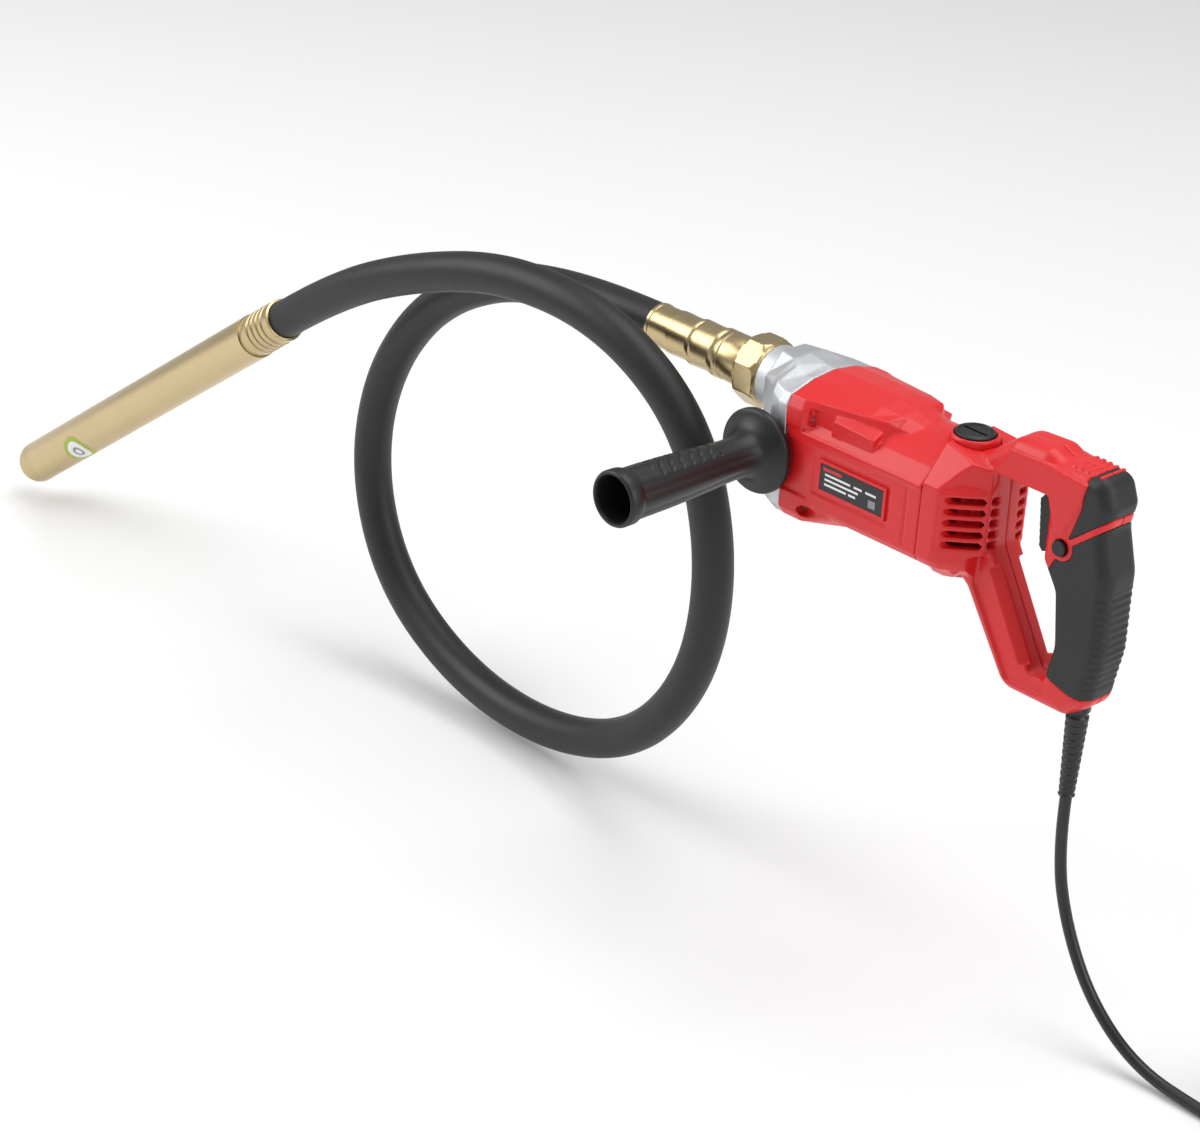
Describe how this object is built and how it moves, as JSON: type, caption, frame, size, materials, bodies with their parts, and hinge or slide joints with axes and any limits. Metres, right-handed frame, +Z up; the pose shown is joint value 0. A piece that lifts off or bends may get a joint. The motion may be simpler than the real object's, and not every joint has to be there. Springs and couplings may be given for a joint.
{
  "type": "concrete vibrator",
  "caption": "Hand-held electric motor with a D-handle and side handle, driving a steel vibrating needle through a looped rubber hose with a flexible core.",
  "frame": {"origin": "middle of the D-handle's rear grip, where the hand holds the machine", "axes": "+X from the needle end towards the D-handle along the motor axis, +Z up, the side handle points along -Y"},
  "size_m": [1.3291, 0.3474, 0.4014],
  "materials": {
    "red_plastic": "satin moulded red plastic",
    "black_rubber": "soft black overmould rubber",
    "hose_rubber": "matt black cloth-marked hose rubber",
    "black_plastic": "moulded black plastic",
    "cast_aluminium": "fine sand-blasted aluminium casting",
    "brass": "pale gold zinc and brass plating, turned",
    "steel": "ground steel",
    "copper_wire": "lacquered copper winding",
    "laminated_steel": "stacked motor laminations",
    "carbon": "pressed carbon",
    "label_black": "plain black label with a red band",
    "cord_rubber": "smooth black cord sheath"
  },
  "bodies": {
    "machine": {"gear_case": "cast_aluminium", "motor_housing": "red_plastic", "handle_shell_right": "red_plastic", "handle_shell_left": "red_plastic", "grip_rubber": "black_rubber", "handle_cap_rubber": "black_rubber", "trigger_pin": "steel", "switch_block": "black_plastic", "cord_clamp": "black_plastic", "spindle_front_bearing": "steel", "spindle_rear_bearing": "steel", "motor_front_bearing": "steel", "motor_rear_bearing": "steel", "bearing_plate": "cast_aluminium", "stator_core": "laminated_steel", "field_coils": "copper_wire", "carbon_brushes": "carbon", "brush_holders": "brass", "brush_caps": "black_plastic", "coupling_nut": "brass", "hose_ferrule": "brass", "hose": "hose_rubber", "flexible_core": "steel", "needle_socket": "brass", "needle_tube": "brass", "needle_tip": "brass", "needle_root_bearing": "steel", "needle_tip_bearing": "steel", "needle_seal": "black_rubber", "side_handle": "black_plastic", "side_handle_stud": "steel", "label_plate": "label_black", "strain_relief": "cord_rubber", "mains_cord": "cord_rubber", "cord_coil": "cord_rubber", "plug_body": "cord_rubber", "plug_pins": "steel", "housing_screws": "steel", "handle_screws": "steel"},
    "rotor": {"rotor_shaft": "steel", "rotor_core": "laminated_steel", "commutator": "copper_wire", "rotor_windings": "copper_wire", "cooling_fan": "black_plastic", "pinion": "steel"},
    "spindle": {"spindle": "steel", "spindle_gear": "steel"},
    "eccentric": {"eccentric_weight": "steel"},
    "trigger": {"trigger": "black_plastic"},
    "lock_button": {"lock_button": "black_plastic"}
  },
  "joints": [
    {"name": "rotor_spin", "type": "hinge", "parent": "machine", "child": "rotor", "pos_m": [-0.17, 0, 0.033], "axis": [1, 0, 0], "continuous": true},
    {"name": "spindle_spin", "type": "hinge", "parent": "machine", "child": "spindle", "pos_m": [-0.242, 0, 0.06], "axis": [1, 0, 0], "continuous": true},
    {"name": "eccentric_spin", "type": "hinge", "parent": "machine", "child": "eccentric", "pos_m": [-0.729, -0.058, -0.034], "axis": [0.811, 0, 0.585], "continuous": true},
    {"name": "trigger_pull", "type": "hinge", "parent": "machine", "child": "trigger", "pos_m": [-0.027, 0, 0.06], "axis": [0, -1, 0], "range_deg": [0, 9], "stiffness_Nm_per_rad": 0.5, "springref_deg": -8.59},
    {"name": "lock_button_press", "type": "slide", "parent": "machine", "child": "lock_button", "axis": [0, 1, 0], "range_m": [0, 0.0025], "stiffness_N_per_m": 400, "springref_m": -0.002}
  ],
  "couplings": [
    {"joint": "spindle_spin", "follows": "rotor_spin", "ratio": -0.38461},
    {"joint": "eccentric_spin", "follows": "rotor_spin", "ratio": -0.38461}
  ]
}
